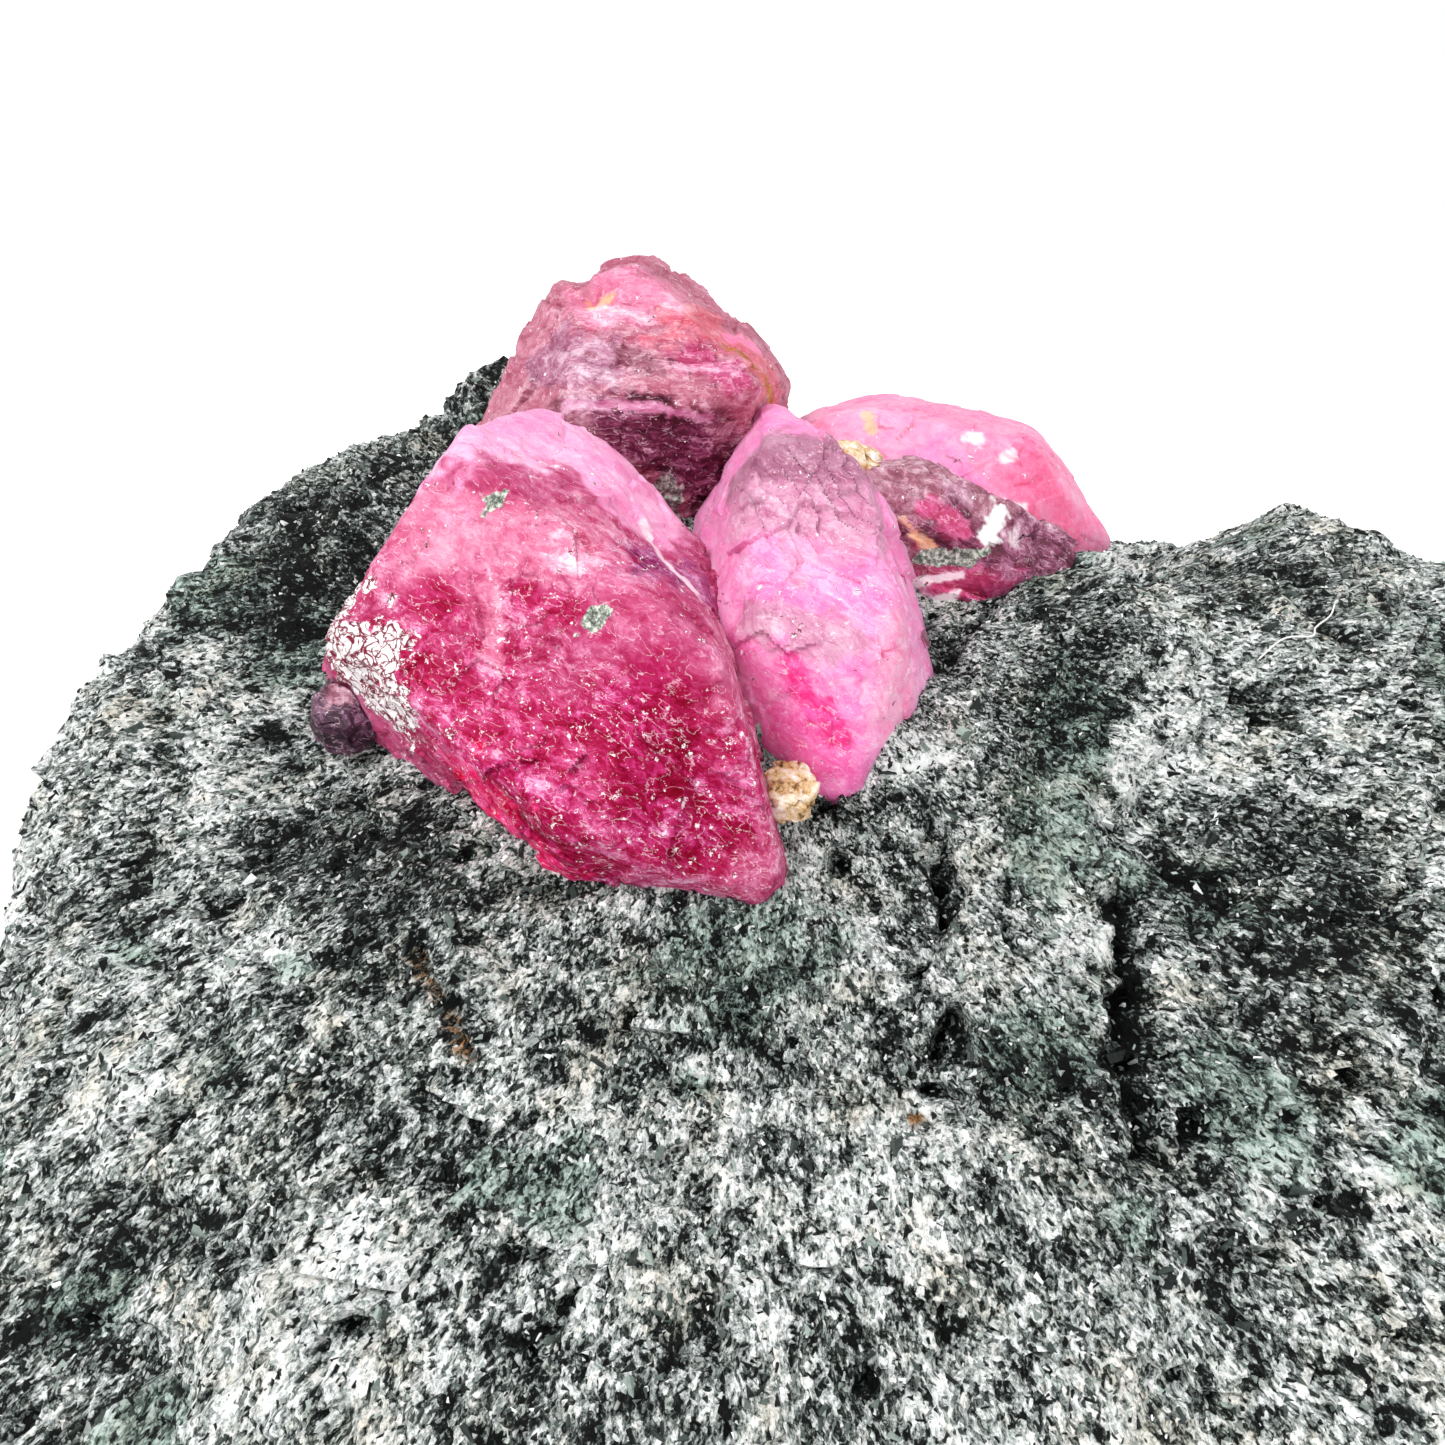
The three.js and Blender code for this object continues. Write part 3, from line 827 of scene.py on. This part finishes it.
# %% Ruby
def ruby(name, depth, contrast, streaks, dust, shine, glow, turn, long):
    """Cloudy natural ruby. depth is how deep light goes on average, and contrast how much that
    varies, most where the skin is bruised; streaks and dust are shares from 0 to 1; turn and long
    lay the pattern along one way."""
    material, tree, out = new_material(name)
    place = millimetres(tree)
    along = add(tree, "Mapping", {"Vector": place, "Rotation": turn, "Scale": (long, 1, 1)},
                vector_type="TEXTURE")
    wander = fractal(tree, place, 1.2, 4.0)
    bent = pushed(tree, along, wander, 0.8)
    bruised = read(tree, "bruised")
    tint = read(tree, "tint", "Vector")

    clouds = fractal(tree, bent, 1.0, 8.0, 0.72)
    clouds_part = spread(tree, clouds, 0.36, 0.64, -1, 1)
    mottle = fractal(tree, bent, 4.5, 5.0, 0.8)
    mottle_part = spread(tree, mottle, 0.42, 0.58, -0.5, 0.5)
    varied = maths(tree, "ADD", clouds_part, mottle_part)
    lively = spread(tree, bruised, 0, 1, 0.55 * contrast, contrast)
    depth = plus(tree, depth, varied, lively)
    depth = maths(tree, "MAXIMUM", depth, 0.3)
    colour = add(tree, "Gamma", {"Color": tint, "Gamma": depth})

    straight = pushed(tree, along, wander, 0.25)
    line = fractal(tree, straight, 4.0, 3.0)
    line = spread(tree, veins(tree, line), 0.006, 0.022, 1, 0)
    patchy = fractal(tree, place, 2.6, 4.0, 0.7)
    patchy = spread(tree, patchy, 0.44, 0.56, 0, streaks)
    # Pale scratch lines, in part real scratches and in part a painted sheen.
    scratch_and_sheen = maths(tree, "MULTIPLY", line, patchy)
    colour = blend(tree, scratch_and_sheen, colour, rgba("#f6cbdc"))

    grit = fractal(tree, place, 5.5, 3.0, 0.65)
    grit = plus(tree, grit, patchy, 0.05)
    speck = spread(tree, grit, 0.65, 0.69, 0, dust)
    speck = maths(tree, "MULTIPLY", speck, bruised)
    colour = blend(tree, speck, colour, rgba("#fdeef4"))

    shaky = fractal(tree, place, 3.0, 5.0, 0.7)
    crazed = pushed(tree, place, shaky, 0.6)
    plates = add(tree, "TexVoronoi", {"Vector": crazed, "Scale": 2.2}, feature="DISTANCE_TO_EDGE")
    curl = add(tree, "TexNoise", {"Vector": place, "Scale": 2.0, "Detail": 1.0, "Distortion": 1.2})
    crack = maths(tree, "MULTIPLY", veins(tree, curl), 2.0)
    crack = maths(tree, "MINIMUM", crack, plates)
    # Crazed plates: real cracks, with the plates between painted near white as a mirror glint.
    crazed_glint = read(tree, "crazed_glint")
    crazed_glint = plus(tree, crazed_glint, shaky, 3.5)
    crazed_glint = spread(tree, crazed_glint, 2.25, 2.32)
    gap = spread(tree, crack, 0.03, 0.08)
    plate = blend(tree, gap, rgba("#7c2038"), rgba("#fdf6f9"))
    colour = blend(tree, crazed_glint, colour, plate)

    guest = read(tree, "guest")
    salt = fractal(tree, place, 7.0, 4.0, 0.75)
    guest = plus(tree, guest, salt, 1.2)
    guest_share = spread(tree, guest, 1.12, 1.25)
    guest_tone = ramp(tree, salt, [(0.38, "#454b45"), (0.5, "#8b9288"), (0.6, "#dadcd0")])
    colour = blend(tree, guest_share, colour, guest_tone)

    bump = add(tree, "Bump", {"Height": mottle, "Strength": 0.6, "Distance": 0.1 * MM})
    sheen = spread(tree, mottle, 0.35, 0.65, 0.2, 0.55)
    return shaded(material, tree, out, {
        "Base Color": colour, "Roughness": sheen, "IOR": 1.77, "Specular IOR Level": shine,
        "Normal": bump, "Subsurface Weight": glow, "Subsurface Radius": (1.0, 0.3, 0.45),
        "Subsurface Scale": 0.25 * MM})


# %% [markdown]
# ### The colours of the cluster
# One deposit, many colours: chromium makes ruby red, cracks make it pale, and iron from the rock
# stains it. These are the tints where light goes 1 mm deep; every crystal is painted from them.

# %% Palette
DEEP_CRIMSON, CRIMSON, DUSTY_CRIMSON, HOT_RED = "#bc3470", "#c84c80", "#cc6c94", "#ec4c8c"
ROSE, DUSTY_ROSE, PALE_ROSE, CAP_PINK = "#d880a4", "#cc8ca0", "#e49cb8", "#f8bcdc"
ORCHID, HOT_PINK, HOTTEST_PINK, LILAC = "#f8a8d4", "#f48cc4", "#f060a8", "#dca4c0"
CORAL, PALE_CORAL, STRONG_CORAL, CORAL_RED = "#fca0c4", "#fcb4d4", "#f888b0", "#e490a0"
MAUVE, DARK_MAUVE, GREY_MAUVE, PLUM = "#c08ca4", "#a4687c", "#9c8090", "#bc6c9c"
WINE, BLACK_WINE = "#7c3454", "#48243c"
WHITE_PINK, CREAM, RUST_STAIN = "#fce8f0", "#f4ccb0", "#cc8c54"

# %% [markdown]
# ### The large barrel
# The big crystal lies on the slope and is bruised all over. Its lower half is deep crimson, its
# cap pale pink, its left tip is crazed into plates painted near white as a mirror glint, and two
# grains of the rock are caught in it.

# %% Large crystal
MAIN_ZONES = [
    # path, radius, tint
    ([(-150, 35), (-100, 42), (-50, 35)], 1.3, ROSE),
    ([(-140, 50), (-100, 52), (-60, 52)], 1.0, PALE_ROSE),
    ([(160, 65), (100, 75), (20, 60)], 1.7, CAP_PINK),
    ([(-135, 30), (-128, 25)], 0.6, CRIMSON),
    ([(-100, 35), (-80, 30)], 0.45, CRIMSON),
    ([(-110, 15), (-100, 10)], 0.4, CRIMSON),
    ([(-40, 40), (-20, 30)], 0.9, PLUM),
    ([(-50, 5), (-35, 15)], 0.7, ROSE),
    ([(-140, 10), (-125, -8)], 1.2, CRIMSON),
    ([(-110, -15), (-80, -10), (-60, -15)], 2.2, CRIMSON),
    ([(-65, 2), (-60, -20)], 1.2, DEEP_CRIMSON),
    ([(-95, -22), (-80, -40)], 1.3, DEEP_CRIMSON),
    ([(-110, 38), (-105, 15)], 0.3, PALE_ROSE),
    ([(-112, -25), (-100, -42), (-85, -45)], 0.9, HOT_RED),
    ([(-50, -30), (-42, -20)], 0.5, ROSE),
    ([(-50, -40)], 0.4, CORAL_RED),
    ([(-30, 20), (-35, 0)], 0.35, PALE_ROSE),
    # painted highlight: a thin pale line along the right shoulder and the seam
    ([(0, 55), (-20, 42), (-25, 28)], 0.22, WHITE_PINK),
]
# Crazed plates at the left tip; their near-white colour is a painted glint.
MAIN_CRAZED_GLINT = [([(-170, 12), (-158, 2)], 1.4), ([(-148, 8), (-142, -4)], 0.9), ([(-150, -8)], 0.9)]
MAIN_GUESTS = [([(-118, 62)], 0.25), ([(-72, 25)], 0.35)]
MAIN_CHIPS, MAIN_PLATES = [(2.4, 0.07, 83), (0.9, 0.12, 84)], (0.4, 0.3, 85)  # size, tilt, salt
MAIN_GRIT = 0.5, 0.03, 86  # size, height, salt
MAIN_SHOULDER = [(0, 52), (-20, 30)], 1.5, -0.45  # path, width, height
MAIN_BRUISES = [
    ([(-110, 0), (-60, -20)], 3.0), ([(-155, 10), (-140, 0)], 1.8), ([(-60, 50), (-30, 35)], 1.2),
]


def main_relief(points, middle):
    """Shell-like breaks, crazed into plates at the left tip, with fine grit all over. The shoulder
    beside the hollow has come off a little more."""
    crazed = marked(points, middle, MAIN_CRAZED_GLINT, 81)
    return (chipped(points, MAIN_CHIPS) + dent(points, middle, *MAIN_SHOULDER)
            + crazed * broken(points, *MAIN_PLATES) + gritty(points, *MAIN_GRIT))


crimson = ruby("ruby_crimson", depth=1.4, contrast=0.85, streaks=0.6, dust=0.9, shine=0.02, glow=0.1,
               turn=(0, 0.36, -0.38), long=2.2)
grow("large_ruby", "ruby_main", cells=120, sharpness=45, relief=main_relief,
     body=DUSTY_CRIMSON, zones=MAIN_ZONES, salt=200, finish=crimson,
     bruises=MAIN_BRUISES, crazed_glint=MAIN_CRAZED_GLINT, guests=MAIN_GUESTS)

# %% [markdown]
# ### The rounded crystal in front
# Hot pink and cloudy, with a lilac bloom above, a mauve ridge and a pale plate by the seam.

# %% Front crystal
FRONT_ZONES = [
    ([(-110, -10), (-90, -35)], 1.5, HOT_PINK),
    ([(-120, 15), (-80, 12), (-60, 10)], 1.0, ORCHID),
    ([(-60, 0), (-60, -25)], 0.8, PALE_CORAL),
    ([(-110, 5), (-80, 0)], 0.5, LILAC),
    ([(-140, 60), (-100, 55), (-60, 50)], 1.2, LILAC),
    ([(180, 70), (0, 75)], 1.1, MAUVE),
    ([(-95, 35), (-75, 30)], 0.4, PALE_CORAL),
    ([(-95, -5), (-90, -15), (-80, -25)], 0.25, HOTTEST_PINK),
    ([(-120, -32)], 0.35, WHITE_PINK),
    ([(-20, -20), (-25, -10)], 0.3, DARK_MAUVE),
    ([(-30, 25), (-25, 15)], 0.2, CRIMSON),
]
FRONT_BRUISES = [([(-90, 10), (-65, -15)], 2.4), ([(-90, 55)], 1.5)]
FRONT_RIDGE = [([(-90, 60)], 1.6)]
FRONT_SIDE = [(180, 30), (-160, 20)], 1.5, -0.5  # path, width, height
FRONT_CHIPS, FRONT_GRIT = [(2.0, 0.11, 93), (0.8, 0.1, 94)], (0.5, 0.03, 96)
FRONT_STEPS = (0.8, 0, 0.6), 0.45, 0.2, 95  # way, spacing, height, salt


def front_relief(points, middle):
    """Soft shell-like breaks, slanting steps on the ridge, and a side that has come off."""
    ridge = marked(points, middle, FRONT_RIDGE, 91)
    return (chipped(points, FRONT_CHIPS) + dent(points, middle, *FRONT_SIDE)
            + ridge * ledges(points, *FRONT_STEPS) + gritty(points, *FRONT_GRIT))


hot_pink = ruby("ruby_hot_pink", depth=1.2, contrast=0.5, streaks=0.6, dust=0.5, shine=0.06, glow=0.15,
                turn=(0, 0.5, -0.3), long=2.6)
grow("front_ruby", "ruby_front", cells=100, sharpness=20, relief=front_relief,
     body=ORCHID, zones=FRONT_ZONES, salt=300, finish=hot_pink, bruises=FRONT_BRUISES)

# %% [markdown]
# ### The peak
# It stands up behind, dusty mauve with flat ledges, coral on its right limb, stained by iron, and
# hollow below, where it broke away from the large crystal: the hollow is painted wine-dark as shade.

# %% Peak crystal
PEAK_ZONES = [
    ([(-110, 60), (-60, 60)], 1.0, PALE_ROSE),
    ([(-160, 40), (-150, 20)], 1.0, DUSTY_ROSE),
    ([(-130, 30), (-100, 28)], 0.8, MAUVE),
    ([(-40, 45), (-30, 25), (-15, 20)], 1.0, CORAL_RED),
    ([(-90, 35), (-80, 28)], 0.35, DARK_MAUVE),
    ([(-60, 30), (-50, 20)], 0.5, DUSTY_CRIMSON),
    # painted shade: the hollow under the peak, in dark mauve and wine
    ([(-100, 5), (-60, 0), (-45, -30)], 1.1, DARK_MAUVE),
    ([(-90, 5), (-65, -5), (-50, -25)], 0.9, WINE),
    ([(-75, -15)], 0.3, GREY_MAUVE),
    ([(-80, 12), (-60, 8)], 0.12, LILAC),
    ([(-70, -50), (-50, -45)], 0.6, GREY_MAUVE),
    ([(-110, 12), (-80, 12)], 0.2, LILAC),
    ([(-120, 60), (-112, 62)], 0.3, CREAM),
    ([(-25, 38), (-10, 30)], 0.3, CORAL),
    ([(-40, 33), (-30, 15), (-20, 3)], 0.2, RUST_STAIN),
]
PEAK_BRUISES = [([(-100, 30), (-60, -10)], 2.5)]
PEAK_GUESTS = [([(-75, -15), (-72, -25)], 0.3)]
PEAK_STEPS = (0.1, 0.25, 1), 0.9, 0.12, 103  # way, spacing, height, salt
PEAK_CHIPS, PEAK_GRIT = [(1.6, 0.12, 104), (0.6, 0.08, 105)], (0.4, 0.03, 106)
PEAK_NOTCH = [(-125, 62), (130, 60)], 0.6, -0.6  # path, width, height
PEAK_FOOT = [(-75, -10), (-60, -40)], 1.2, 0.3


def peak_relief(points, middle):
    """Level growth ledges with shell-like breaks between them, a notch between the two points of
    the top, and a foot that fills the hollow between the neighbours."""
    return (chipped(points, PEAK_CHIPS, ledges(points, *PEAK_STEPS)) + gritty(points, *PEAK_GRIT)
            + dent(points, middle, *PEAK_NOTCH) + dent(points, middle, *PEAK_FOOT))


dusky = ruby("ruby_dusky", depth=1.35, contrast=0.7, streaks=0.5, dust=0.3, shine=0.08, glow=0.1,
             turn=(0, 0.05, 0), long=3.5)
grow("peak_ruby", "ruby_peak", cells=100, sharpness=80, relief=peak_relief,
     body=DUSTY_ROSE, zones=PEAK_ZONES, salt=400, finish=dusky,
     bruises=PEAK_BRUISES, guests=PEAK_GUESTS, close_up=0)

# %% [markdown]
# ### The coral crystal
# Smooth, even and translucent, the cleanest of the cluster.

# %% Coral crystal
REAR_ZONES = [
    ([(-150, 40), (-120, 45)], 0.9, PALE_CORAL),
    ([(-100, 28), (-90, 20)], 0.9, ORCHID),
    ([(-50, 20), (-40, 0)], 1.0, STRONG_CORAL),
    ([(-150, 45), (-140, 38)], 0.15, CREAM),
    ([(-75, 45)], 0.25, WHITE_PINK),
    ([(-60, 30)], 0.22, WHITE_PINK),
    ([(-75, 5), (-60, 5)], 0.2, WHITE_PINK),
]
REAR_DIP = [(-150, 55), (160, 50)], 1.2, -0.2  # path, width, height
REAR_CHIPS, REAR_GRIT = [(2.0, 0.06, 113), (0.9, 0.07, 114)], (1.0, 0.06, 116)


def rear_relief(points, middle):
    """A few broad soft breaks, soft grit, and a dip at the left of the top."""
    return (chipped(points, REAR_CHIPS) + gritty(points, *REAR_GRIT)
            + dent(points, middle, *REAR_DIP))


coral = ruby("ruby_coral", depth=1.1, contrast=0.5, streaks=0.1, dust=0.0, shine=0.06, glow=0.25,
             turn=(0, 0.3, 0), long=1.3)
grow("coral_ruby", "ruby_rear", cells=90, sharpness=22, relief=rear_relief,
     body=CORAL, zones=REAR_ZONES, salt=500, finish=coral, close_up=0.1)

# %% [markdown]
# ### The splinter and the chip
# Two glassy fragments, dark as wine: one is wedged under the coral crystal, the other is a small
# crystal at the left tip of the large one.

# %% Splinter and chip
SHARD_ZONES = [
    ([(-150, 40), (-140, 25)], 0.6, DARK_MAUVE),
    ([(-130, 42)], 0.5, MAUVE),
    ([(-125, 25), (-105, 15)], 0.7, WINE),
    ([(-138, 30), (-122, 26)], 0.3, CRIMSON),
    ([(-60, 28), (-40, 18)], 0.4, LILAC),
    # painted glint
    ([(-75, 30), (-70, 10)], 0.15, WHITE_PINK),
    ([(-60, 5), (-80, -5)], 0.7, WINE),
    ([(-40, 14), (-20, 4), (0, 4)], 0.7, WINE),
    ([(-150, -20), (-120, -30), (-100, -30)], 0.8, CRIMSON),
    # painted glints: white stripes and flecks where the splinter catches the light
    ([(-95, 48), (-105, 25)], 0.22, "#ffffff"),
    ([(-155, -8), (-120, -5)], 0.1, WHITE_PINK),
    ([(-150, -20), (-122, -17)], 0.08, WHITE_PINK),
    ([(-145, -30), (-125, -28)], 0.08, WHITE_PINK),
    ([(-145, 22), (-135, 12)], 0.12, CREAM),
]
SHARD_GUESTS = [([(-135, 6), (-115, 8)], 0.25)]
SHARD_SLAB = [(-150, -15), (-125, -25)], 1.2, 0.9  # path, width, height
SHARD_STEPS = (0.3, 0.5, 1), 0.6, 0.22, 123  # way, spacing, height, salt
SHARD_CHIPS, SHARD_GRIT = [(0.9, 0.2, 124)], (0.3, 0.02, 126)


def shard_relief(points, middle):
    """Sharp splintery steps along its length, and a slab that sticks out at the lower left."""
    return (chipped(points, SHARD_CHIPS, ledges(points, *SHARD_STEPS)) + gritty(points, *SHARD_GRIT)
            + dent(points, middle, *SHARD_SLAB))


wine = ruby("ruby_wine", depth=1.0, contrast=1.1, streaks=0.5, dust=0.3, shine=0.2, glow=0.05,
            turn=(0, 0.35, -0.2), long=2.5)
grow("dark_splinter", "ruby_shard", cells=100, sharpness=60, relief=shard_relief,
     body=DARK_MAUVE, zones=SHARD_ZONES, salt=600, finish=wine, guests=SHARD_GUESTS, crease=20)


def chip_relief(points, middle):
    """One size of rough breaks: the chip is too small for more."""
    return broken(points, 0.5, 0.25, 131)


grow("tip_chip", "ruby_chip", cells=40, sharpness=40, relief=chip_relief,
     body=BLACK_WINE, zones=[([(-90, 60)], 0.3, DARK_MAUVE)], salt=650, finish=wine, crease=20)

# %% [markdown]
# ## Feldspar grains
# Two larger cream grains fill the notches between crystals. They are crumbly and stained by iron.

# %% Feldspar
def feldspar():
    """Weathered plagioclase: chalky cream, yellow in the hollows."""
    material, tree, out = new_material("feldspar")
    place = millimetres(tree)
    stain = fractal(tree, place, 2.2, 5.0, 0.7)
    colour = ramp(tree, stain, [
        (0.36, "#484438"), (0.40, "#a8763f"), (0.46, "#d8b480"), (0.55, "#f0dcc4"), (0.68, "#ffffff")])
    bump = add(tree, "Bump", {"Height": stain, "Strength": 0.8, "Distance": 0.1 * MM})
    return shaded(material, tree, out, {
        "Base Color": colour, "Roughness": 0.6, "IOR": 1.53, "Normal": bump})


FOOT_HEIGHT, FOOT_DRAWN_IN = 0.8, 0.3  # mm: the lower part of a grain is in the rock


def crumbly(points, middle):
    """Chips of 0.35 mm, and a foot that is drawn in more and more."""
    foot = np.clip((middle[2] - points[:, 2]) / FOOT_HEIGHT, 0, 1)
    return broken(points, 0.35, 0.45, 141) - FOOT_DRAWN_IN * foot


cream = feldspar()
for node in ("feldspar_low", "feldspar_high"):
    *_, points, quads = crystal_skin(node, cells=48, sharpness=8, relief=crumbly, close_up=0.05)
    grain = make_piece(node + "_grain", points, quads.tolist(), {}, [node], crease=25)
    grain.data.materials.append(cream)

# %% [markdown]
# ## The lint fibre
# One textile fibre lies on the rock at the right. It is a tube 0.05 mm thick: a circle carried
# along a path of a few points on the rock, smoothed as a Catmull-Rom curve, with closed ends.

# %% Fibre
FIBRE_WAY = [(-5, 53), (-3, 52), (-3, 50), (0, 50), (5, 48), (6, 48)]  # from the rock's centre
FIBRE_LIFT = (0, -0.1, 0.2)  # mm, up and to the front
FIBRE_THICKNESS = 0.05


def smooth_path(corners, steps):
    """Points on a Catmull-Rom curve through the corners: between two of them, a cubic blend of
    these and their neighbours."""
    padded = np.concatenate([2 * corners[:1] - corners[1:2], corners, 2 * corners[-1:] - corners[-2:-1]])
    t = np.arange(steps)[None, :, None] / steps
    p0, p1, p2, p3 = (padded[k:len(padded) - 3 + k, None] for k in range(4))
    curve = 0.5 * (2 * p1 + (p2 - p0) * t + (2 * p0 - 5 * p1 + 4 * p2 - p3) * t**2
                   + (3 * p1 - p0 - 3 * p2 + p3) * t**3)
    return np.concatenate([curve.reshape(-1, 3), corners[-1:]])


def tube(path, thickness, sides):
    """A circle of that thickness carried along the path, tapering to a point at both ends."""
    way = np.gradient(path, axis=0)
    way /= np.linalg.norm(way, axis=1, keepdims=True)
    side = np.cross(way, (0, 0, 1.0))
    side /= np.linalg.norm(side, axis=1, keepdims=True)
    top = np.cross(side, way)
    angle = 2 * math.pi * np.arange(sides) / sides
    width = np.full(len(path), thickness / 2)
    width[[0, -1]] *= 0.2
    ring = np.cos(angle)[None, :, None] * side[:, None] + np.sin(angle)[None, :, None] * top[:, None]
    skin = path[:, None] + width[:, None, None] * ring
    at = np.arange(len(path) * sides).reshape(len(path), sides)
    after = np.roll(at, -1, axis=1)
    quads = np.stack([at[:-1], after[:-1], after[1:], at[1:]], -1).reshape(-1, 4).tolist()
    return skin.reshape(-1, 3), quads + [at[0, ::-1].tolist(), at[-1].tolist()]


def lint():
    """White cotton lint: matt with a soft sheen, a little twisted."""
    material, tree, out = new_material("lint")
    place = millimetres(tree)
    twist = fractal(tree, place, 12.0, 2.0)
    colour = ramp(tree, twist, [(0.3, "#d9d9d6"), (0.7, "#ffffff")])
    return shaded(material, tree, out, {"Base Color": colour, "Roughness": 0.8, "Sheen Weight": 0.3})


corners = spots(rock_points, ROCK_CENTRE, FIBRE_WAY) + FIBRE_LIFT
points, faces = tube(smooth_path(corners, steps=8), FIBRE_THICKNESS, sides=8)
fibre = make_piece("lint_fibre", points, faces, {}, crease=180)
fibre.data.materials.append(lint())
